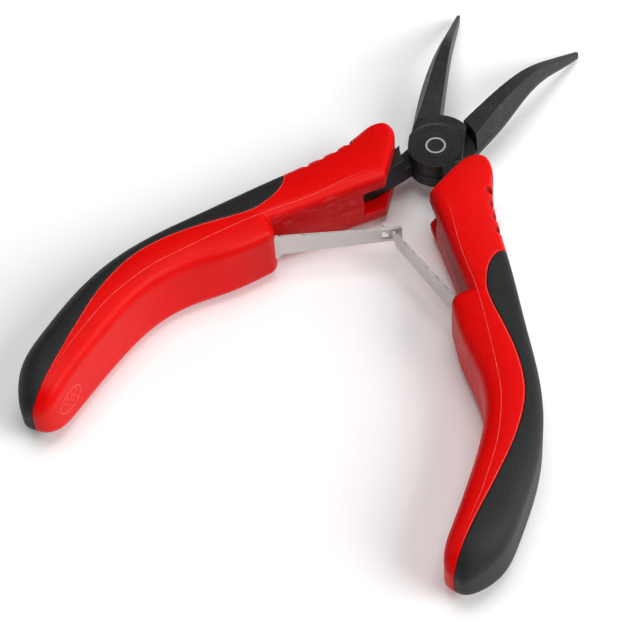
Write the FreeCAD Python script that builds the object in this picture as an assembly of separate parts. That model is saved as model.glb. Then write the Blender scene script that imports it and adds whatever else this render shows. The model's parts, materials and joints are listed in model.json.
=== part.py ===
"""Bent needle nose pliers with a lap joint, two-colour moulded grips and a pair of hooked leaf springs.

Frame, in millimetres: the origin is on the pivot axis in the back face of the joint, +Z runs along the
pivot axis out of the front face, +Y runs from the pivot to the jaws and +X to the right. The pliers stand
open, as their springs hold them. Each half is drawn closed, with its gripping face in the plane x = 0,
and then turned about the pivot by half of the opening. The front half has the left jaw and the right
handle, the rear half has the right jaw and the left handle.
"""
import FreeCAD
import Part
import math
import os

Vector = FreeCAD.Vector
ORIGIN = Vector(0, 0, 0)
Z_AXIS = Vector(0, 0, 1)

# joint
half_opening = 17.3          # each half turns this far from closed to open, degrees
joint_thickness = 6.8        # over the two turned faces of the joint
lap_gap = 0.06               # between the two lap plates
boss_radius = 5.85           # turned round of the joint, and half the width of the closed head
turned_radius = 5.87         # the faces of the joint are turned down inside this
plate_radius = 8.4           # rounded shoulder of a lap plate
jaw_wall_radius = 8.75       # hollow wall at the foot of a jaw, which the other plate turns in
tang_wall_radius = 7.6       # hollow wall at the head of a tang
head_rise = 0.18             # the forging stands proud of the turned face by this much
rivet_radius = 2.4
rivet_head_radius = 3.3
rivet_head_depth = 0.9
running_clearance = 0.05     # rivet in the half that turns on it

# jaws
jaw_start = 2.0              # y where the jaw's own section begins
jaw_root = 8.9               # y where the jaw leaves the head
bend_start = 20.0            # y where the jaws begin to bend down
bend_radius = 29.0           # of the jaw's top edge
bend_angle = 30.0            # degrees
tip_length = 13.9            # straight length after the bend
jaw_rise = 0.65              # top edge of the jaws above the joint's front face, where they begin to bend
bevel_width = 0.95           # the ground bevel ends at this part of the jaw's width
bevel_height = 0.42          # and at this part of its height, from its top
widest_height = 0.52         # the jaw is widest here
round_height = 0.84          # its rounded back ends here
bottom_part = 0.55           # width of the flat bottom, as a part of the flat top
face_gap = 0.04              # gripping face to the plane x = 0, closed
face_spare = 0.5             # drawn past the gripping face, then ground off flat

# tangs
tang_width = 3.7
tang_inner = 2.05            # x of the tang's inner side at the joint, closed
tang_neck = 6.0              # length of the tang's straight neck behind the pivot
tang_end = Vector(31.0, -41.6, 0)         # inner corner of the tang's end, right grip, open
tang_depth = 3.3             # from the grip's inner wall to the tang

# leaf springs
leaf_thickness = 0.6
leaf_root_half = 2.86        # half width of the leaf where it leaves the grip
leaf_end_half = 2.0          # half width of the leaf at the hook
leaf_shoulder_half = 3.4     # half width of the anchored root
tongue_half = 0.8
window_half = 1.05
window_end = 0.85              # ahead of the hook
window_start = -1.85           # toward the mouth: the hook slides this way while the handles close
tongue_start = -2.0            # shoulders of the tongue, behind the hook
leaf_mouth = Vector(20.2, -35.05, 0)      # where the right leaf leaves its grip
leaf_hook = Vector(0, -22.7, 0)           # where the two leaves hook together
leaf_root_length = 8.5
leaf_root_lean = 9.0                      # degrees, from the grip's inner wall to the anchored root
slot_clearance = 0.2

# grips, right side, open
wall_front = Vector(5.0, -14.7, 0)        # inner front corner of the grip's plates
step_outer = Vector(21.9, -33.7, 0)       # foot of the step that the leaf comes out of
step_inner = Vector(19.1, -36.1, 0)       # nose of that step
wall_draft = 2.5                          # degrees, each way from the moulding's parting plane
pocket_length = 4.7                       # from the front corner to the end of the open channel
notch_radius = 0.85
notch_count = 4
first_notch = Vector(15.95, -8.75, 0)     # centres of the first and the last thumb groove
last_notch = Vector(21.65, -17.45, 0)
clear_of_grip = 12.0                      # half height of a block that cuts right through a grip
edge_round = 1.3                          # moulded edges of the grip's nose
wall_round = 2.5                          # and of the wall ahead of the step


def flat(x, y):
    return Vector(x, y, 0)


def turned(shape, degrees):
    """A copy of the shape, turned about the pivot."""
    copy = shape.copy()
    copy.rotate(ORIGIN, Z_AXIS, degrees)
    return copy


def mirrored(shape):
    """The shape on the other side of the tool."""
    return shape.mirror(ORIGIN, Vector(1, 0, 0))


def turned_point(point, degrees):
    """A point, turned about the pivot."""
    return FreeCAD.Rotation(Z_AXIS, degrees).multVec(point)


def line(start, end):
    return Part.LineSegment(start, end).toShape()


def arc(start, middle, end):
    return Part.Arc(start, middle, end).toShape()


def polar(radius, degrees):
    angle = math.radians(degrees)
    return flat(radius * math.cos(angle), radius * math.sin(angle))


def curve(points):
    spline = Part.BSplineCurve()
    spline.interpolate(points)
    return spline.toShape()


def slab(edges, low, high):
    """The area inside a closed run of edges, from height low to height high."""
    wire = Part.Wire(edges)
    wire.translate(Vector(0, 0, low))
    return Part.Face(wire).extrude(Vector(0, 0, high - low))


def polygon(points):
    return [line(a, b) for a, b in zip(points, points[1:] + points[:1])]


def cylinder(radius, low, high):
    return Part.makeCylinder(radius, high - low, Vector(0, 0, low))


# ---------------------------------------------------------------- steel halves

def jaw_section(place, slope, top_width, width, height):
    """One section of the left jaw: narrow flat top, ground bevel, rounded back and a narrow bottom."""
    down = Vector(0, -math.sin(slope), -math.cos(slope))

    def point(across, below):
        return place + Vector(-across, 0, 0) + down * (below * height)

    crease = point(top_width, 0)
    bevel_end = point(bevel_width * width, bevel_height)
    back = point(width, widest_height)
    low = point(0.5 * (width + top_width), round_height)
    outer_low = point(bottom_part * top_width, 1)
    return Part.Wire([
        line(point(-face_spare, 0), crease),
        line(crease, bevel_end),
        arc(bevel_end, back, low),
        line(low, outer_low),
        line(outer_low, point(-face_spare, 1)),
        line(point(-face_spare, 1), point(-face_spare, 0)),
    ])


def jaw_place(distance):
    """The point on the jaw's top edge at this distance past the start of the bend, and the slope there."""
    top = 0.5 * joint_thickness + jaw_rise
    slope = math.radians(bend_angle)
    arc_length = bend_radius * slope
    if distance <= arc_length:
        angle = distance / bend_radius
        past = 0.0
    else:
        angle = slope
        past = distance - arc_length
    y = bend_start + bend_radius * math.sin(angle) + past * math.cos(angle)
    z = top - bend_radius * (1 - math.cos(angle)) - past * math.sin(angle)
    return Vector(0, y, z), angle


def jaw():
    """The left jaw, closed: straight out of the head, then bent down towards its blunt tip."""
    top = 0.5 * joint_thickness + head_rise
    sections = [
        jaw_section(Vector(0, jaw_start, top), 0, 5.45, boss_radius, 2 * top),
        jaw_section(Vector(0, 7.5, top), 0, 4.75, boss_radius, 2 * top),
        jaw_section(Vector(0, 13.5, top + 0.35), 0, 3.80, 5.55, 2 * top + 0.2),
    ]
    # distance past the start of the bend, width of the flat top, whole width, height
    for distance, top_width, width, height in (
        (0.0, 3.10, 4.85, 6.5),
        (5.0, 2.60, 4.15, 5.7),
        (10.5, 2.05, 3.35, 4.8),
        (16.0, 1.55, 2.60, 3.9),
        (21.0, 1.20, 2.05, 3.2),
        (25.5, 0.95, 1.60, 2.5),
        (bend_radius * math.radians(bend_angle) + tip_length, 0.75, 1.20, 1.8),
    ):
        place, slope = jaw_place(distance)
        sections.append(jaw_section(place, slope, top_width, width, height))
    # the gripping face is ground flat
    ground = Part.makeBox(2 * face_spare, 80, 60, Vector(-face_gap, -10, -40))
    return Part.makeLoft(sections, True, False).cut(ground)


def tang_outline():
    """The tang that runs into the right grip, drawn open and turned back to closed."""
    back = -half_opening
    along = (step_outer - wall_front).normalize()
    out = Vector(-along.y, along.x, 0)
    bend = wall_front + out * tang_depth + along * 0.6
    deep = step_outer + out * tang_depth
    wide = out * tang_width
    open_points = [bend, deep, tang_end, tang_end + wide, deep + wide, bend + wide - along * 3.2]
    closed = [turned_point(point, back) for point in open_points]
    neck = [flat(boss_radius, 0), flat(tang_inner, 0), flat(tang_inner, -tang_neck)]
    return neck + closed + [flat(boss_radius, -tang_neck - 1)]


def head_outline():
    """The lap plate without its tang: jaw side, rounded shoulder, straight side and turned round."""
    shoulder_end = flat(boss_radius, math.sqrt(plate_radius ** 2 - boss_radius ** 2))
    round_start = flat(tang_inner, -math.sqrt(boss_radius ** 2 - tang_inner ** 2))
    return [
        line(flat(-boss_radius, 0), flat(-boss_radius, jaw_start)),
        line(flat(-boss_radius, jaw_start), flat(-3.0, jaw_root)),
        line(flat(-3.0, jaw_root), flat(-face_gap, jaw_root)),
        line(flat(-face_gap, jaw_root), flat(-face_gap, plate_radius)),
        line(flat(-face_gap, plate_radius), flat(0, plate_radius)),
        arc(flat(0, plate_radius), polar(plate_radius, 70), shoulder_end),
        line(shoulder_end, flat(boss_radius, -4.0)),
        line(flat(boss_radius, -4.0), flat(tang_inner, -4.0)),
        line(flat(tang_inner, -4.0), round_start),
        arc(round_start, polar(boss_radius, 225), flat(-boss_radius, 0)),
    ]


def half(lap_side):
    """One half with a left jaw, closed. lap_side is 1 for a lap plate in front and -1 for one behind."""
    face = 0.5 * joint_thickness
    reach = 20.0      # well past the steel, above or below
    if lap_side > 0:
        plate_span = (0.5 * lap_gap, face + head_rise)
        wall_span = (-reach, 0.5 * lap_gap)
    else:
        plate_span = (-face - head_rise, -0.5 * lap_gap)
        wall_span = (-0.5 * lap_gap, reach)
    full_jaw = jaw().cut(cylinder(jaw_wall_radius, *wall_span))
    full_tang = slab(polygon(tang_outline()), -face, face).cut(cylinder(tang_wall_radius, *wall_span))
    plate = slab(head_outline(), *plate_span)
    whole = plate.fuse([full_jaw, full_tang]).removeSplitter()
    # the round of the joint is turned down to the joint's thickness on the plate's side
    if lap_side > 0:
        whole = whole.cut(cylinder(turned_radius, face, face + reach))
    else:
        whole = whole.cut(cylinder(turned_radius, -face - reach, -face))
    return whole


def rivet(extra=0.0):
    """The pivot rivet, flush at both ends. extra widens it all round, for its running hole."""
    face = 0.5 * joint_thickness
    shank = cylinder(rivet_radius + extra, -face, face)
    head = Part.makeCone(
        rivet_head_radius + extra, rivet_radius + extra, rivet_head_depth, Vector(0, 0, face), Vector(0,
                                                                                                      0, -1))
    tail = Part.makeCone(
        rivet_head_radius + extra, rivet_radius + extra, rivet_head_depth, Vector(0, 0,
                                                                                  -face), Vector(0, 0, 1))
    return shank.fuse([head, tail]).removeSplitter()


# ---------------------------------------------------------------- leaf springs

def leaf_frame():
    """Directions of the right leaf: along its anchored root, and along its free blade to the hook."""
    root_way = (step_outer - wall_front).normalize()
    lean = math.radians(leaf_root_lean)
    root_way = Vector(
        root_way.x * math.cos(lean) + root_way.y * math.sin(lean),
        root_way.y * math.cos(lean) - root_way.x * math.sin(lean), 0)
    knee = leaf_mouth - root_way * 0.9
    blade_way = (leaf_hook - knee).normalize()
    return root_way, knee, blade_way


def blade_profile(half_widths, blade_way, depth=4.0):
    """A block whose outline, seen square to the blade, has these (distance from the hook, half width)."""
    normal = Vector(-blade_way.y, blade_way.x, 0)
    upper = [leaf_hook + blade_way * d + Vector(0, 0, w) for d, w in half_widths]
    lower = [leaf_hook + blade_way * d - Vector(0, 0, w) for d, w in reversed(half_widths)]
    wire = Part.makePolygon(upper + lower + upper[:1])
    wire.translate(normal * (-0.5 * depth))
    return Part.Face(wire).extrude(normal * depth)


def leaf(beyond):
    """The right leaf without its hook: anchored root, bend at the mouth, and blade past the hook."""
    root_way, knee, blade_way = leaf_frame()
    root_end = leaf_mouth + root_way * leaf_root_length
    tip = leaf_hook + blade_way * beyond
    blade_start = knee + blade_way * 0.9
    root_side = Vector(-root_way.y, root_way.x, 0) * (0.5 * leaf_thickness)
    blade_side = Vector(blade_way.y, -blade_way.x, 0) * (0.5 * leaf_thickness)
    turn = (blade_side + root_side).normalize() * (0.5 * leaf_thickness)
    sag = (leaf_mouth + blade_start) * 0.5 * 0.55 + knee * 0.45
    edges = [
        line(root_end + root_side, leaf_mouth + root_side),
        arc(leaf_mouth + root_side, sag + turn, blade_start + blade_side),
        line(blade_start + blade_side, tip + blade_side),
        line(tip + blade_side, tip - blade_side),
        line(tip - blade_side, blade_start - blade_side),
        arc(blade_start - blade_side, sag - turn, leaf_mouth - root_side),
        line(leaf_mouth - root_side, root_end - root_side),
        line(root_end - root_side, root_end + root_side),
    ]
    return slab(edges, -leaf_shoulder_half, leaf_shoulder_half)


def leaf_blade_start():
    """Distance from the hook back to the grip, negative along the blade."""
    return -(leaf_hook - leaf_mouth).Length


def tongue_leaf():
    """The right leaf: its blade ends in a tongue that goes through the other leaf's window."""
    blade_way = leaf_frame()[2]
    start = leaf_blade_start()
    shape = blade_profile([
        (start - leaf_root_length - 2.0, leaf_shoulder_half), (start - 1.2, leaf_shoulder_half),
        (start - 1.2, leaf_root_half), (tongue_start, leaf_end_half), (tongue_start, tongue_half),
        (3.0, tongue_half)],
        blade_way, 14.0)
    return leaf(2.9).common(shape)


def window_leaf():
    """The other leaf, drawn on the right: its blade has a window at the hook."""
    blade_way = leaf_frame()[2]
    start = leaf_blade_start()
    shape = blade_profile([
        (start - leaf_root_length - 2.0, leaf_shoulder_half), (start - 1.2, leaf_shoulder_half),
        (start - 1.2, leaf_root_half), (2.4, leaf_end_half)],
        blade_way, 14.0)
    window = blade_profile([(window_start, window_half), (window_end, window_half)], blade_way)
    return leaf(2.3).common(shape).cut(window)


def leaf_slot():
    """The moulded slot in the right grip that holds a leaf's root."""
    root_way = leaf_frame()[0]
    side = Vector(-root_way.y, root_way.x, 0) * (0.5 * leaf_thickness + slot_clearance)
    start = leaf_mouth - root_way * 2.0
    end = leaf_mouth + root_way * (leaf_root_length + slot_clearance)
    height = leaf_shoulder_half + slot_clearance
    return slab(polygon([start + side, start - side, end - side, end + side]), -height, height)


# ---------------------------------------------------------------- grips

def corner_arc(side, inward, radius, bow_middle, bow_radius, bow_height):
    """Rounding between an upright side and a bowed face: its end on the side, its middle, its other end."""
    centre_x = side + inward * radius
    across = centre_x - bow_middle
    rise = math.sqrt((bow_radius - radius) ** 2 - across ** 2)
    centre_z = bow_height + rise
    on_bow = math.atan2(rise, across)
    on_side = math.pi if inward > 0 else 0.0
    halfway = 0.5 * (on_bow + on_side)
    return [(centre_x + radius * math.cos(angle), centre_z + radius * math.sin(angle))
            for angle in (on_side, halfway, on_bow)]


def grip_section(inner, outer, height, crown, inner_round, outer_round):
    """One upright section of the right grip: upright sides, crowned top and bottom, rounded corners."""
    way = outer - inner
    width = way.Length
    way.normalize()
    bow_radius = (0.25 * width ** 2 + crown ** 2) / (2 * crown)
    bow = (0.5 * width, bow_radius, height + crown - bow_radius)
    left = corner_arc(0.0, 1, inner_round, *bow)
    right = corner_arc(width, -1, outer_round, *bow)
    top = (0.5 * width, height + crown)
    upper = [left, [left[2], top, right[2]], right[::-1]]
    lower = [[(x, -z) for x, z in reversed(run)] for run in reversed(upper)]

    def place(point):
        return inner + way * point[0] + Z_AXIS * point[1]

    edges = [arc(*map(place, run)) for run in upper]
    edges.append(line(place(upper[-1][-1]), place(lower[0][0])))
    edges += [arc(*map(place, run)) for run in lower]
    edges.append(line(place(lower[-1][-1]), place(upper[0][0])))
    return Part.Wire(edges)


def grip_blank():
    """The swept body of the right grip, before its front is shaped."""
    ahead = (wall_front - step_outer).normalize()
    # inner point, outer point, half thickness at the sides, crown, inner and outer rounding
    stations = (
        (step_inner + ahead * 40, flat(8.5, 7.5), 6.4, 1.1, 1.8, 2.6),
        (step_inner + ahead * 28, flat(14.7, -2.8), 6.5, 1.1, 1.9, 2.5),
        (step_inner + ahead * 14, flat(20.9, -15.4), 6.45, 1.1, 2.1, 2.5),
        (step_inner, flat(29.4, -27.2), 6.5, 1.2, 2.4, 2.6),
        (flat(25.5, -44.7), flat(36.6, -37.8), 6.9, 1.3, 2.7, 2.9),
        (flat(31.9, -51.4), flat(42.7, -46.7), 7.2, 1.3, 2.9, 3.5),
        (flat(36.3, -58.5), flat(47.5, -55.9), 7.5, 1.3, 3.0, 4.2),
        (flat(38.8, -67.4), flat(50.5, -66.6), 7.7, 1.2, 3.0, 4.7),
        (flat(40.2, -77.0), flat(51.8, -77.3), 7.6, 1.1, 2.9, 4.7),
        (flat(41.0, -84.6), flat(51.8, -85.2), 7.2, 1.0, 2.6, 4.9),
        (flat(41.6, -89.7), flat(49.7, -90.4), 5.6, 0.8, 2.2, 4.0),
        (flat(42.9, -92.3), flat(48.0, -92.7), 3.6, 0.5, 1.5, 2.3),
        (flat(44.8, -93.2), flat(46.8, -93.5), 1.6, 0.15, 0.6, 0.7),
    )
    return Part.makeLoft([grip_section(*station) for station in stations], True, False)


def grip_front():
    """The plan of the grip's front end, from the inner corner round the rounded nose, and all behind it."""
    nose = [flat(6.7, -7.0), flat(7.5, -4.1), flat(9.0, -1.7), flat(11.2, -0.7), flat(13.6, -2.3),
            flat(16.2, -7.2)]
    return [
        line(wall_front, nose[0]),
        curve(nose),
        line(nose[-1], flat(70.0, -80.0)),
        line(flat(70.0, -80.0), flat(60.0, -110.0)),
        line(flat(60.0, -110.0), flat(0.0, -60.0)),
        line(flat(0.0, -60.0), wall_front),
    ]


def wall_recess():
    """What the grip's inner side is cut back by, ahead of the step: a wall with draft both ways."""
    along = (step_outer - wall_front).normalize()
    out = Vector(-along.y, along.x, 0)
    lean = math.tan(math.radians(wall_draft))
    reach = 10.0
    outline = [(0, 0), (lean * reach, reach), (-12, reach), (-12, -reach), (lean * reach, -reach)]
    points = [step_outer + out * across + Vector(0, 0, z) for across, z in outline]
    face = Part.Face(Part.makePolygon(points + points[:1]))
    return face.extrude(along * -45.0)


def pocket():
    """The open channel at the grip's front, between its two plates, where the tang goes in."""
    along = (step_outer - wall_front).normalize()
    out = Vector(-along.y, along.x, 0)
    end = wall_front + along * pocket_length
    depth = tang_depth + 0.5 * tang_width
    start = wall_front - along * 16
    corners = [start - out * 6, end - out * 6, end + out * depth, start + out * depth]
    height = 0.5 * joint_thickness + 0.05
    return slab(polygon(corners), -height, height)


def notches():
    """Short thumb grooves across the outer back of the grip's front."""
    cutters = []
    for number in range(notch_count):
        centre = first_notch + (last_notch - first_notch) * (number / (notch_count - 1))
        cutters.append(Part.makeCylinder(notch_radius, 2 * clear_of_grip, centre - Z_AXIS * clear_of_grip))
    return cutters


def front_radii(blank):
    """The long edges of the grip's front end, as (number from 1, radius): round its nose, and at the wall."""
    near_plan = 0.8
    shortest_edge = 1.5
    moulded_height = 5.5
    nose = Part.Wire(grip_front()[:2])
    wall = line(wall_front, step_outer)
    chosen = []
    for number, edge in enumerate(blank.Edges, 1):
        middle = edge.valueAt(0.5 * (edge.FirstParameter + edge.LastParameter))
        shadow = Part.Vertex(flat(middle.x, middle.y))
        if edge.Length < shortest_edge or abs(middle.z) < moulded_height:
            continue
        if shadow.distToShape(wall)[0] < near_plan:
            chosen.append((number, wall_round))
        elif shadow.distToShape(nose)[0] < near_plan:
            chosen.append((number, edge_round))
    return chosen


def rounded(shape, radii):
    """The shape with some edges rounded, each with its own radius."""
    document = FreeCAD.newDocument()
    source = document.addObject("Part::Feature", "source")
    source.Shape = shape
    fillet = document.addObject("Part::Fillet", "fillet")
    fillet.Base = source
    fillet.Edges = [(number, radius, radius) for number, radius in radii]
    document.recompute()
    made = fillet.Shape.copy()
    FreeCAD.closeDocument(document.Name)
    return made


def pad_area():
    """Plan of the soft pad: everything outside the wavy line along the grip's back."""
    border = [
        flat(27.0, -20.6), flat(24.2, -22.8), flat(23.7, -26.8), flat(26.2, -33.3), flat(30.5, -37.9),
        flat(37.1, -44.7), flat(42.4, -53.0), flat(44.7, -62.6), flat(45.1, -71.5), flat(44.9, -82.5),
        flat(44.9, -89.5), flat(45.4, -97.0)]
    far = [flat(75.0, -97.0), flat(75.0, -20.4)]
    edges = [curve(border), line(border[-1], far[0]), line(far[0], far[1]), line(far[1], border[0])]
    return slab(edges, -clear_of_grip, clear_of_grip)


def grip_and_pad(steel):
    """The right grip's hard core and its soft pad."""
    blank = grip_blank().common(slab(grip_front(), -clear_of_grip, clear_of_grip))
    blank = blank.cut(wall_recess())
    blank = rounded(blank, front_radii(blank))
    for cutter in notches():
        blank = blank.cut(cutter)
    hollow = pocket().fuse([leaf_slot(), steel])
    blank = blank.cut(hollow)
    area = pad_area()
    return blank.cut(area), blank.common(area)


# ---------------------------------------------------------------- assembly

def main():
    os.makedirs("parts", exist_ok=True)
    left_jaw_half = half(1)
    right_jaw_half = mirrored(half(-1))
    front = turned(left_jaw_half, half_opening).cut(rivet())
    rear = turned(right_jaw_half, -half_opening).cut(rivet(running_clearance))
    tang = turned(slab(polygon(tang_outline()), -0.5 * joint_thickness, 0.5 * joint_thickness), half_opening)
    core, pad = grip_and_pad(tang)
    nodes = {
        "front_half": front,
        "rear_half": rear,
        "pivot_rivet": rivet(),
        "right_grip": core,
        "left_grip": mirrored(core),
        "right_soft_pad": pad,
        "left_soft_pad": mirrored(pad),
        "right_leaf_spring": tongue_leaf(),
        "left_leaf_spring": mirrored(window_leaf()),
    }
    for name, shape in nodes.items():
        shape.translate(Vector(0, 0, 0.5 * joint_thickness))
        solids = shape.Solids
        box = shape.BoundBox
        print(name, "solids", len(solids), "valid", shape.isValid(), "volume", round(shape.Volume, 1),
              "box", [round(v, 1) for v in (box.XMin, box.YMin, box.ZMin, box.XMax, box.YMax, box.ZMax)])
        solids[0].exportStep(f"parts/{name}.step")


main()
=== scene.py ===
"""Looks for the needle nose pliers: materials, moulded detail, bent leaf springs, floor, lights, camera.

Lengths are in millimetres in the row frame, times MM where Blender needs metres.
"""

import json
import math
import bmesh
import bpy
from mathutils import Matrix, Vector
from mathutils.bvhtree import BVHTree


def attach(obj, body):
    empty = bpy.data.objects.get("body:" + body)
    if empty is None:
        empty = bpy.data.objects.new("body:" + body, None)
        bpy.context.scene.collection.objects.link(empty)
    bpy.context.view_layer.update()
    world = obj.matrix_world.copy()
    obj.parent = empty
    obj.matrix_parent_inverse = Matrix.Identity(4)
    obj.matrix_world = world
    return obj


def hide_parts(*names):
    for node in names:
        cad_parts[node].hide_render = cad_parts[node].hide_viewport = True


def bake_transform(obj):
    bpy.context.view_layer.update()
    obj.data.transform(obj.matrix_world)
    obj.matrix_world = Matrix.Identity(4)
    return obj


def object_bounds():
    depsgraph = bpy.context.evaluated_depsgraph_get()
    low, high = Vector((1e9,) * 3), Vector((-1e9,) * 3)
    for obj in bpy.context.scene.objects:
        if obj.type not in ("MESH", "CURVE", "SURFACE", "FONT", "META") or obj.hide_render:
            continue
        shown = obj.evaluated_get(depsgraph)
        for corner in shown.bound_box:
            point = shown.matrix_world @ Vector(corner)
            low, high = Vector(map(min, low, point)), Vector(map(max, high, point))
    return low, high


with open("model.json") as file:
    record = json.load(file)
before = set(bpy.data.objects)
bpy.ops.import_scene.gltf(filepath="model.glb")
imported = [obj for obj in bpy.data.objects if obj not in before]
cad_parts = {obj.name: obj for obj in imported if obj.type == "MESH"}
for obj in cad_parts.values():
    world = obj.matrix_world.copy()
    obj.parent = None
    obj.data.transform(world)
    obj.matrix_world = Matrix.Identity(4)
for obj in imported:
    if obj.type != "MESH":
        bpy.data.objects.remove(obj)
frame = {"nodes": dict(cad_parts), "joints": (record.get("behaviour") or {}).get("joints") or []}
cad_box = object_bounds()
nodes = frame["nodes"]
joints = {joint["name"]: joint for joint in frame["joints"]}

MM = 0.001
MID_PLANE = joints["main_pivot"]["pos_m"][2] / MM
SIGN = {"right": 1, "left": -1}
HANDLE = {"right": "front_half_body", "left": "rear_half_body"}     # the body that holds each grip

# leaf springs, as in the CAD; the plan is drawn for the right one
LEAF_MOUTH = Vector(joints["right_leaf_flex"]["pos_m"]) / MM
LEAF_HOOK = Vector((0, -22.7, MID_PLANE))
WALL_WAY = Vector((21.9 - 5.0, -33.7 + 14.7, 0)).normalized()       # along the grip's inner wall, to the step
LEAF_ROOT_LEAN = math.radians(9.0)      # from the inner wall to the anchored root
LEAF_ROOT_LENGTH = 8.0
LEAF_KNEE = 0.9                 # reach of the bend at the mouth, to each side
LEAF_THICKNESS = 0.6
LEAF_SHOULDER_HALF = 3.4        # half widths: of the anchored root, at the mouth and at the hook
LEAF_ROOT_HALF = 2.86
LEAF_END_HALF = 2.0
LEAF_SHOULDER_AT = -1.2         # places along the blade: this one from the mouth, the others from the hook
TONGUE_HALF = 0.8
TONGUE_START = -2.0
TONGUE_TIP = 2.9
WINDOW_HALF = 1.05
WINDOW_START = -1.85
WINDOW_END = 0.85
WINDOW_LEAF_TIP = 2.3
LEAF_EDGE_BEVEL = 0.06

# how finely a leaf is divided: along its root, its bend and its blade, and across as shares of its half width
ROOT_STEPS, BEND_STEPS, BLADE_STEPS = 12, 8, 120
LEAF_LANES = (-1.0, -0.8, -0.575, -0.4, 0.0, 0.4, 0.575, 0.8, 1.0)


# ---------------------------------------------------------------- material nodes

class Nodes:
    """A material's node tree, with short ways to add and link its nodes."""

    def __init__(self, name):
        self.material = bpy.data.materials.new(name)
        self.material.use_nodes = True
        self.tree = self.material.node_tree
        self.shader = self.tree.nodes["Principled BSDF"]

    def add(self, kind, inputs=None, **settings):
        node = self.tree.nodes.new(kind)
        for key, value in settings.items():
            setattr(node, key, value)
        for key, value in (inputs or {}).items():
            self.put(value, node.inputs[key])
        return node

    def put(self, value, socket):
        if isinstance(value, bpy.types.NodeSocket):
            self.tree.links.new(value, socket)
        else:
            socket.default_value = value

    def place(self, stretch=(1, 1, 1), source="Object"):
        """Coordinates in millimetres, stretched along each axis."""
        coordinates = self.add("ShaderNodeTexCoord").outputs[source]
        size = [s / MM for s in stretch] if source == "Object" else stretch
        return self.add("ShaderNodeMapping", {"Vector": coordinates, "Scale": size}).outputs["Vector"]

    def noise(self, vector, scale, detail=3.0, roughness=0.55):
        inputs = {"Vector": vector, "Scale": scale, "Detail": detail, "Roughness": roughness}
        return self.add("ShaderNodeTexNoise", inputs).outputs["Fac"]

    def cells(self, vector, scale):
        return self.add("ShaderNodeTexVoronoi", {"Vector": vector, "Scale": scale}).outputs["Distance"]

    def ramp(self, value, low, high, to_low=0.0, to_high=1.0):
        inputs = {"Value": value, "From Min": low, "From Max": high, "To Min": to_low, "To Max": to_high}
        return self.add("ShaderNodeMapRange", inputs).outputs["Result"]

    def math(self, operation, a, b=0.0):
        node = self.add("ShaderNodeMath", operation=operation)
        self.put(a, node.inputs[0])
        self.put(b, node.inputs[1])
        return node.outputs[0]

    def mix(self, factor, a, b):
        node = self.add("ShaderNodeMix", data_type="RGBA")
        self.put(factor, node.inputs["Factor"])
        self.put(a, node.inputs["A"])
        self.put(b, node.inputs["B"])
        return node.outputs["Result"]

    def bump(self, height, distance, normal=None):
        inputs = {"Height": height, "Distance": distance * MM, "Strength": 1.0}
        if normal is not None:
            inputs["Normal"] = normal
        return self.add("ShaderNodeBump", inputs).outputs["Normal"]

    def finish(self, **inputs):
        for name, value in inputs.items():
            self.put(value, self.shader.inputs[name.replace("_", " ")])
        return self.material


def colour(red, green, blue):
    """An opaque colour for a socket."""
    return (red, green, blue, 1.0)


def red_plastic(name, pale=0.0):
    """Bright satin moulded plastic, with faint grain, pale flecks, and painted shade with pale dusty streaks
    on the upright walls ahead of the step.

    pale, for fine edges, is how strongly a lighter red is painted on them in patches, as a painted highlight.
    """
    make = Nodes(name)
    place = make.place()
    broad = make.noise(place, 0.12, 2)
    grain = make.noise(place, 4.5, 3)
    base = make.mix(broad, colour(0.58, 0.0010, 0.0006), colour(0.68, 0.0016, 0.0010))
    fleck = make.ramp(make.noise(place, 1.6, 5, 0.65), 0.60, 0.80)
    base = make.mix(make.math("MULTIPLY", fleck, 0.06), base, colour(0.86, 0.10, 0.08))
    if pale:
        # painted highlight: fine raised lines get patches of lighter red that stand in for the light they
        # catch
        painted_highlight = make.ramp(make.noise(place, 1.1, 3), 0.30, 0.60, 0.35 * pale, pale)
        base = make.mix(painted_highlight, base, colour(0.90, 0.20, 0.17))
    # painted shade: the upright walls ahead of the step are darkened where they lie in shadow, with pale
    # dusty streaks on them
    streaks = make.noise(make.place((0.5, 0.5, 1.6)), 0.55, 6, 0.62)
    streaks = make.ramp(streaks, 0.53, 0.70)
    geometry = make.add("ShaderNodeNewGeometry")
    normal = make.add("ShaderNodeSeparateXYZ", {"Vector": geometry.outputs["Normal"]})
    upright = make.ramp(make.math("ABSOLUTE", normal.outputs["Z"]), 0.75, 0.25)
    axes = make.add("ShaderNodeSeparateXYZ", {"Vector": place})
    ahead = make.ramp(axes.outputs["Y"], -46.0, -34.0)
    wall = make.math("MULTIPLY", upright, ahead)
    dust = make.math("MULTIPLY", streaks, wall)
    # painted shade: dark red mixed into the upright walls ahead of the step
    base = make.mix(make.math("MULTIPLY", wall, 0.55), base, colour(0.30, 0.004, 0.005))
    base = make.mix(make.math("MULTIPLY", dust, 0.30), base, colour(0.52, 0.13, 0.13))
    rough = make.ramp(make.noise(place, 0.9, 4), 0.3, 0.7, 0.34, 0.46)
    rough = make.math("ADD", rough, make.math("MULTIPLY", dust, 0.15))
    relief = make.bump(grain, 0.012)
    relief = make.bump(make.noise(place, 0.45, 2), 0.05, relief)
    return make.finish(Base_Color=base, Roughness=rough, Normal=relief, IOR=1.5, Specular_IOR_Level=0.10)


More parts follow.
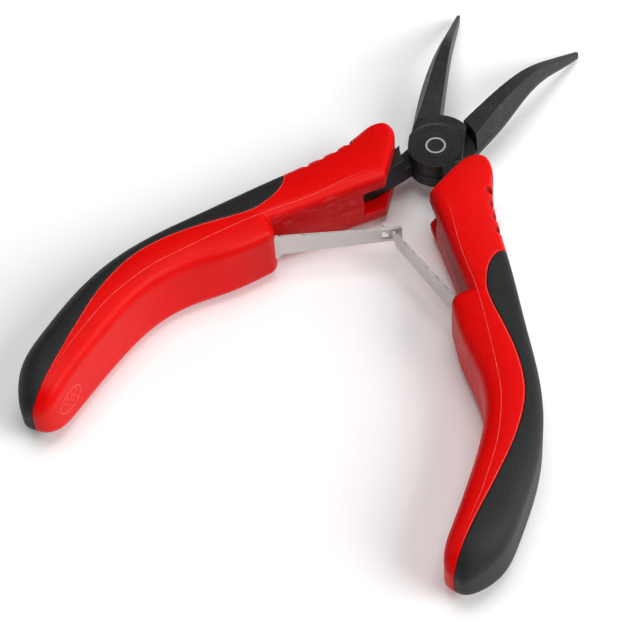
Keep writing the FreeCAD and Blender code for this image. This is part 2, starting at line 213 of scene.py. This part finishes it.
def soft_black():
    """Matt soft overmould: fine leathery grain, slightly mottled."""
    make = Nodes("soft_black")
    place = make.place()
    speckle = make.noise(place, 2.4, 4, 0.7)
    broad = make.noise(place, 0.15, 2)
    base = make.mix(make.ramp(speckle, 0.42, 0.66), colour(0.005, 0.005, 0.0055), colour(0.018, 0.019, 0.020))
    base = make.mix(make.math("MULTIPLY", broad, 0.4), base, colour(0.009, 0.010, 0.0105))
    rough = make.ramp(speckle, 0.3, 0.7, 0.50, 0.66)
    relief = make.bump(make.cells(place, 3.2), 0.035)
    relief = make.bump(make.noise(place, 7.0, 2), 0.02, relief)
    return make.finish(Base_Color=base, Roughness=rough, Normal=relief, IOR=1.48, Specular_IOR_Level=0.30)


def dark_steel(name, lathe_marks=0.0):
    """Phosphated tool steel: dark, with fine crystalline specks, faint rubbed patches and painted shade round
    the joint.
    """
    make = Nodes(name)
    place = make.place()
    specks = make.noise(place, 3.4, 4, 0.7)
    patches = make.noise(place, 0.35, 3)
    base = make.mix(make.ramp(specks, 0.40, 0.70), colour(0.014, 0.014, 0.0145), colour(0.056, 0.056, 0.058))
    rubbed = make.ramp(patches, 0.48, 0.68, 0.0, 0.5)
    base = make.mix(rubbed, base, colour(0.050, 0.050, 0.052))
    # painted shade: darker round the joint and the tangs, which lie in shadow under the grips
    axes = make.add("ShaderNodeSeparateXYZ", {"Vector": place})
    shaded_joint = make.ramp(axes.outputs["Y"], -8.0, 16.0, 0.62, 0.0)
    base = make.mix(shaded_joint, base, colour(0.004, 0.004, 0.0042))
    rough = make.ramp(specks, 0.3, 0.7, 0.40, 0.56)
    relief = make.bump(specks, 0.02)
    if lathe_marks:
        inputs = {"Vector": make.place(), "Scale": lathe_marks, "Distortion": 0.4}
        rings = make.add("ShaderNodeTexWave", inputs, wave_type="RINGS", rings_direction="Z")
        relief = make.bump(rings.outputs["Fac"], 0.008, relief)
    return make.finish(Base_Color=base, Roughness=rough, Normal=relief, Metallic=0.55)


def spring_steel(name, place, stretch, metallic=1.0):
    """Satin rolled strip: fine lines, faint smudges. place is UV along a blade, Object on its thin edges."""
    make = Nodes(name)
    lines = make.noise(make.place(stretch, place), 1.0, 4, 0.6)
    smudge = make.noise(make.place(), 0.35, 3)
    base = make.mix(make.ramp(lines, 0.35, 0.65), colour(0.44, 0.42, 0.41), colour(0.62, 0.60, 0.59))
    base = make.mix(make.math("MULTIPLY", smudge, 0.25), base, colour(0.38, 0.36, 0.35))
    rough = make.ramp(lines, 0.3, 0.7, 0.24, 0.38)
    relief = make.bump(make.noise(make.place(), 5.0, 2), 0.004)
    return make.finish(Base_Color=base, Roughness=rough, Normal=relief, Metallic=metallic)


def etched_mark():
    """Pale laser-etched steel."""
    make = Nodes("etched_mark")
    place = make.place()
    grain = make.noise(place, 6.0, 3)
    base = make.mix(grain, colour(0.26, 0.26, 0.27), colour(0.46, 0.46, 0.47))
    return make.finish(Base_Color=base, Roughness=make.ramp(grain, 0.3, 0.7, 0.5, 0.7),
                       Normal=make.bump(grain, 0.01), Metallic=0.3)


def pale_floor():
    """Matt, nearly white."""
    make = Nodes("pale_floor")
    base = make.mix(make.noise(make.place(), 0.01, 2), colour(0.93, 0.93, 0.93), colour(0.95, 0.95, 0.95))
    return make.finish(Base_Color=base, Roughness=0.9)


RED = red_plastic("red_plastic")
RED_EDGE = red_plastic("red_edge", 0.45)
BLACK = soft_black()
STEEL = dark_steel("dark_steel")
RIVET = dark_steel("rivet_steel", 1.4)
LEAF = spring_steel("spring_steel", "UV", (0.35, 34.0, 1.0))
LEAF_EDGE = spring_steel("spring_edge", "Object", (0.4, 0.4, 6.0), 0.35)
MARK = etched_mark()


# ---------------------------------------------------------------- CAD nodes

def dress(node, material, voxel, rounds):
    """A CAD node's finish: its edges are softened as moulding or forging leaves them.

    voxel is the size of the new facets; rounds is how often they are smoothed.
    """
    piece = nodes[node]
    piece.data.materials.clear()
    piece.data.materials.append(material)
    weld = piece.modifiers.new("weld", "WELD")
    weld.merge_threshold = 0.001 * MM
    remesh = piece.modifiers.new("remesh", "REMESH")
    remesh.mode = "VOXEL"
    remesh.voxel_size = voxel * MM
    remesh.use_smooth_shade = True
    smooth = piece.modifiers.new("smooth", "SMOOTH")
    smooth.factor = 0.5
    smooth.iterations = rounds


for side in SIGN:
    dress(f"{side}_grip", RED, voxel=0.20, rounds=3)
    dress(f"{side}_soft_pad", BLACK, voxel=0.20, rounds=3)
for node in ("front_half", "rear_half"):
    dress(node, STEEL, voxel=0.13, rounds=2)
dress("pivot_rivet", RIVET, voxel=0.10, rounds=2)


# ---------------------------------------------------------------- helpers for added pieces

def surface(node):
    """The CAD node's surface, for finding points on it."""
    graph = bpy.context.evaluated_depsgraph_get()
    return BVHTree.FromObject(nodes[node], graph)


def cast(skin, start, way):
    """Where a ray first meets the surface, in millimetres, and the normal there; both None if it misses."""
    hit, normal, _, _ = skin.ray_cast(start * MM, Vector(way))
    return (hit / MM, normal) if hit is not None else (None, None)


def mesh_piece(name, build, material, body=None):
    """A new piece from a bmesh, with its material. It rides on body if one is given."""
    mesh = bpy.data.meshes.new(name)
    build.to_mesh(mesh)
    build.free()
    piece = bpy.data.objects.new(name, mesh)
    bpy.context.scene.collection.objects.link(piece)
    piece.data.materials.append(material)
    if body:
        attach(piece, body)
    return piece


def smooth_path(points, count):
    """A Catmull-Rom curve through the points, as evenly shared samples."""
    points = [Vector(p) for p in points]
    ends = [points[0] * 2 - points[1]] + points + [points[-1] * 2 - points[-2]]
    made = []
    for step in range(count):
        place = step / (count - 1) * (len(points) - 1)
        index = min(int(place), len(points) - 2)
        t = place - index
        a, b, c, d = ends[index:index + 4]
        made.append(0.5 * ((2 * b) + (c - a) * t + (2 * a - 5 * b + 4 * c - d) * t * t
                           + (3 * b - a - 3 * c + d) * t ** 3))
    return made


def ridge(name, path, normals, half_width, rise, material, body, closed=False):
    """A low raised line along a path on a surface, sunk a little at its edges.

    An open line narrows toward its ends.
    """
    sunk, below = -0.12, -0.3
    profile = ((-1.0, sunk), (-0.5, 0.7 * rise), (0.0, rise), (0.5, 0.7 * rise), (1.0, sunk), (0.0, below))
    end_width, widening = 0.15, 6.0
    build = bmesh.new()
    rows = []
    count = len(path)
    for index, (point, normal) in enumerate(zip(path, normals)):
        before = path[index - 1] if closed or index else path[0]
        after = path[(index + 1) % count] if closed or index < count - 1 else path[-1]
        across = (after - before).cross(normal).normalized() * half_width
        from_end = min(index, count - 1 - index)
        taper = 1.0 if closed else min(1.0, widening * from_end / count + end_width)
        rows.append([build.verts.new((point + across * x * taper + normal * y) * MM) for x, y in profile])
    pairs = list(zip(rows, rows[1:] + rows[:1])) if closed else list(zip(rows, rows[1:]))
    size = len(rows[0])
    for first, second in pairs:
        for k in range(size):
            build.faces.new((first[k], first[(k + 1) % size], second[(k + 1) % size], second[k]))
    if not closed:
        build.faces.new(rows[0])
        build.faces.new(rows[-1][::-1])
    bmesh.ops.recalc_face_normals(build, faces=build.faces)
    for face in build.faces:
        face.smooth = True
    mesh_piece(name, build, material, body)


def domes(name, places, radius, rise, body):
    """Small moulded studs on a surface, as low domes in one piece."""
    build = bmesh.new()
    for hit, normal in places:
        if hit is None:
            continue
        turn = normal.to_track_quat("Z", "X").to_matrix().to_4x4()
        size = Matrix.Diagonal((radius * MM, radius * MM, rise * MM, 1))
        shape = Matrix.Translation(hit * MM) @ turn @ size
        bmesh.ops.create_icosphere(build, subdivisions=2, radius=1.0, matrix=shape)
    for face in build.faces:
        face.smooth = True
    mesh_piece(name, build, RED_EDGE, body)


# ---------------------------------------------------------------- moulded detail on the grips

# plan of the fine parting line along the top of the right grip
PARTING_LINE = ((8.9, -14.7), (11.9, -18.6), (15.7, -23.9), (19.1, -28.0), (22.9, -32.3), (27.1, -38.0),
                (32.7, -46.2), (36.7, -52.3), (38.9, -56.5), (40.9, -61.8), (42.2, -66.6), (43.1, -72.3),
                (43.8, -78.1), (44.0, -84.0))
# plan of the soft pad's edge, a little inside the hard core
PAD_EDGE = ((25.5, -21.3), (24.0, -22.7), (23.5, -24.6), (23.5, -26.8), (24.4, -30.0), (26.0, -33.5),
            (30.3, -38.1), (36.9, -44.9), (42.2, -53.1), (44.5, -62.6), (44.9, -71.5), (44.7, -82.5),
            (44.7, -89.0))
LINE_SAMPLES = 170
OFF_GRIP = 20                   # from the middle plane to well clear of a grip's faces


def grip_lines(side, name, plan, half_width, rise):
    """A fine raised line laid on the grip's front and back, along a plan drawn for the right grip."""
    skin = surface(f"{side}_grip")
    for face, way in (("front", -1), ("back", 1)):
        path, normals = [], []
        for point in smooth_path([(x * SIGN[side], y, 0) for x, y in plan], LINE_SAMPLES):
            hit, normal = cast(skin, Vector((point.x, point.y, MID_PLANE - way * OFF_GRIP)), (0, 0, way))
            if hit is not None:
                path.append(hit)
                normals.append(normal)
        ridge(f"{side}_grip_{name}_{face}", path, normals, half_width, rise,
              RED_EDGE, HANDLE[side])


def mould_ring(side):
    """A plain oval ring with a few studs, moulded in the inner wall near the tail."""
    skin = surface(f"{side}_grip")
    centre_y, half_length, half_height = -85.4, 3.4, 2.6
    samples = 72
    path, normals = [], []

    def on_wall(y, z):
        """The inner wall's point and normal at a place along the grip and a height over the middle plane."""
        return cast(skin, Vector((0, y, MID_PLANE + z)), (SIGN[side], 0, 0))

    for step in range(samples):
        angle = 2 * math.pi * step / samples
        hit, normal = on_wall(centre_y + half_length * math.cos(angle), half_height * math.sin(angle))
        if hit is not None:
            path.append(hit)
            normals.append(normal)
    ridge(f"{side}_grip_ring", path, normals, 0.20, 0.12, RED_EDGE, HANDLE[side], closed=True)

    # staggered rows of studs, as far as they fit inside the ring
    pitch_along, pitch_up = 1.35, 1.1
    room_along, room_up = half_length - 0.8, half_height - 0.7
    reach = 3
    studs = []
    for row in range(-reach, reach + 1):
        for column in range(-reach, reach + 1):
            along, up = (column + 0.5 * (row % 2)) * pitch_along, row * pitch_up
            if math.hypot(along / room_along, up / room_up) < 1:
                studs.append(on_wall(centre_y + along, up))
    domes(f"{side}_grip_studs", studs, radius=0.30, rise=0.18, body=HANDLE[side])


def head_mark():
    """One plain etched ring on the joint's front face, over the rivet."""
    inner, outer, thick = 1.75, 2.15, 0.03
    steps = 64
    face = 2 * MID_PLANE
    build = bmesh.new()
    loops = []
    for radius, height in ((inner, 0.0), (inner, thick), (outer, thick), (outer, 0.0)):
        loops.append([build.verts.new(Vector((
            radius * math.cos(2 * math.pi * k / steps), radius * math.sin(2 * math.pi * k / steps),
            face + height)) * MM) for k in range(steps)])
    for a, b in zip(loops, loops[1:] + loops[:1]):
        for k in range(steps):
            build.faces.new((a[k], a[(k + 1) % steps], b[(k + 1) % steps], b[k]))
    bmesh.ops.recalc_face_normals(build, faces=build.faces)
    mesh_piece("head_mark", build, MARK, "front_half_body")


for side in SIGN:
    grip_lines(side, "line", PARTING_LINE, half_width=0.12, rise=0.07)
    grip_lines(side, "seam", PAD_EDGE, half_width=0.13, rise=0.05)
mould_ring("left")
head_mark()


# ---------------------------------------------------------------- leaf springs

def leaf_path(beyond):
    """The right leaf's middle line, from its anchored end to beyond the hook.

    Also gives the blade's direction, and the place where it would start without the bend at the mouth.
    """
    lean = LEAF_ROOT_LEAN
    root_way = Vector((WALL_WAY.x * math.cos(lean) + WALL_WAY.y * math.sin(lean),
                       WALL_WAY.y * math.cos(lean) - WALL_WAY.x * math.sin(lean), 0))
    knee = LEAF_MOUTH - root_way * LEAF_KNEE
    blade_way = (LEAF_HOOK - knee).normalized()
    blade_start = knee + blade_way * LEAF_KNEE
    root_end = LEAF_MOUTH + root_way * LEAF_ROOT_LENGTH
    points = [root_end.lerp(LEAF_MOUTH, k / ROOT_STEPS) for k in range(ROOT_STEPS)]
    for k in range(BEND_STEPS):
        t = k / BEND_STEPS
        points.append(LEAF_MOUTH * (1 - t) ** 2 + knee * 2 * t * (1 - t) + blade_start * t * t)
    tip = LEAF_HOOK + blade_way * beyond
    points += [blade_start.lerp(tip, k / BLADE_STEPS) for k in range(BLADE_STEPS + 1)]
    return points, blade_way, blade_start


def leaf(side):
    """One leaf: a strip with its shoulders in the grip, narrowing to a tongue or to an end with a window."""
    sign = SIGN[side]
    tongue = side == "right"
    points, blade_way, blade_start = leaf_path(TONGUE_TIP if tongue else WINDOW_LEAF_TIP)
    blade_length = (LEAF_HOOK - blade_start).dot(blade_way)

    def half_width(ahead):
        """Half width at a distance ahead of the mouth, measured along the blade."""
        if ahead < LEAF_SHOULDER_AT:
            return LEAF_SHOULDER_HALF
        if tongue and ahead > blade_length + TONGUE_START:
            return TONGUE_HALF
        t = min(max(ahead / (blade_length + TONGUE_START), 0), 1)
        return LEAF_ROOT_HALF + (LEAF_END_HALF - LEAF_ROOT_HALF) * t

    build = bmesh.new()
    uv_layer = build.loops.layers.uv.new("strip")
    rows = []
    run = 0.0
    for index, point in enumerate(points):
        if index:
            run += (point - points[index - 1]).length
        ahead = (point - blade_start).dot(blade_way)
        half = half_width(ahead)
        heights = [point.z + lane * half for lane in LEAF_LANES]
        verts = [build.verts.new(Vector((point.x * sign, point.y, height)) * MM) for height in heights]
        rows.append((run, ahead, half, verts))
    for (run_a, ahead_a, half_a, a), (run_b, ahead_b, half_b, b) in zip(rows, rows[1:]):
        past_hook = 0.5 * (ahead_a + ahead_b) - blade_length
        in_window = not tongue and WINDOW_START < past_hook < WINDOW_END
        for k, (low, high) in enumerate(zip(LEAF_LANES, LEAF_LANES[1:])):
            if in_window and abs(0.5 * (low + high)) < WINDOW_HALF / LEAF_END_HALF:
                continue
            face = build.faces.new((a[k], a[k + 1], b[k + 1], b[k]))
            face.smooth = True
            corners = ((run_a, low * half_a), (run_a, high * half_a),
                       (run_b, high * half_b), (run_b, low * half_b))
            for loop, corner in zip(face.loops, corners):
                loop[uv_layer].uv = corner
    piece = mesh_piece(f"{side}_leaf", build, LEAF)
    piece.data.materials.append(LEAF_EDGE)
    solid = piece.modifiers.new("thickness", "SOLIDIFY")
    solid.thickness = LEAF_THICKNESS * MM
    solid.offset = 0.0
    solid.material_offset_rim = 1
    edges = piece.modifiers.new("edges", "BEVEL")
    edges.width = LEAF_EDGE_BEVEL * MM
    edges.segments = 2
    edges.limit_method = "ANGLE"
    edges.harden_normals = True
    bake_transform(piece)
    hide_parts(f"{side}_leaf_spring")


for side in SIGN:
    leaf(side)


# ---------------------------------------------------------------- floor, lights, camera

def floor():
    """A large plain sheet just under the lowest point."""
    gap, half = 0.15, 2500.0
    low = cad_box[0].z / MM - gap
    mesh = bpy.data.meshes.new("floor")
    corners = ((-half, -half), (half, -half), (half, half), (-half, half))
    mesh.from_pydata([Vector((x, y, low)) * MM for x, y in corners], [], [(0, 1, 2, 3)])
    sheet = bpy.data.objects.new("floor", mesh)
    bpy.context.scene.collection.objects.link(sheet)
    sheet.data.materials.append(pale_floor())


LIT_POINT = Vector((0, -30, 0))


def softbox(name, place, size, power):
    """A square area light that faces the middle of the tool."""
    data = bpy.data.lights.new(name, "AREA")
    data.size = size * MM
    data.energy = power
    lamp = bpy.data.objects.new(name, data)
    bpy.context.scene.collection.objects.link(lamp)
    lamp.location = Vector(place) * MM
    aim = LIT_POINT * MM - lamp.location
    lamp.rotation_mode = "QUATERNION"
    lamp.rotation_quaternion = aim.to_track_quat("-Z", "Y")


def camera():
    """The main view: from above, behind the grips and to the right, slightly rolled."""
    aim = Vector((-5.92, -47.35, MID_PLANE)) * MM
    distance = 503.75 * MM
    azimuth = math.radians(29.82)
    elevation = math.radians(53.72)
    roll = math.radians(5.22)
    look = Vector((-math.sin(azimuth) * math.cos(elevation), math.cos(azimuth) * math.cos(elevation),
                   -math.sin(elevation)))
    data = bpy.data.cameras.new("camera")
    data.sensor_width = 36.0
    data.lens = 143.54
    data.clip_start = 10 * MM
    data.clip_end = 20.0
    viewer = bpy.data.objects.new("camera", data)
    bpy.context.scene.collection.objects.link(viewer)
    viewer.location = aim - look * distance
    right = look.cross(Vector((0, 0, 1))).normalized()
    up = right.cross(look)
    rolled_up = up * math.cos(roll) + right * math.sin(roll)
    rolled_right = look.cross(rolled_up)
    turn = Matrix((rolled_right, rolled_up, -look)).transposed()
    viewer.rotation_mode = "QUATERNION"
    viewer.rotation_quaternion = turn.to_quaternion()
    bpy.context.scene.camera = viewer


def surroundings():
    """A faint cool light from all round."""
    world = bpy.data.worlds.new("studio")
    bpy.context.scene.world = world
    world.use_nodes = True
    background = world.node_tree.nodes["Background"]
    background.inputs["Color"].default_value = colour(0.95, 0.97, 1.0)
    background.inputs["Strength"].default_value = 0.08


floor()
softbox("key", (1000, -150, 820), 700, 11.5)
softbox("side", (1150, 420, 420), 600, 5.5)
softbox("back", (100, 1100, 700), 700, 2.2)
softbox("top", (0, -60, 1400), 900, 11.5)
softbox("fill", (-1100, -400, 700), 800, 1.4)
camera()
surroundings()
bpy.context.scene.view_settings.view_transform = "Standard"
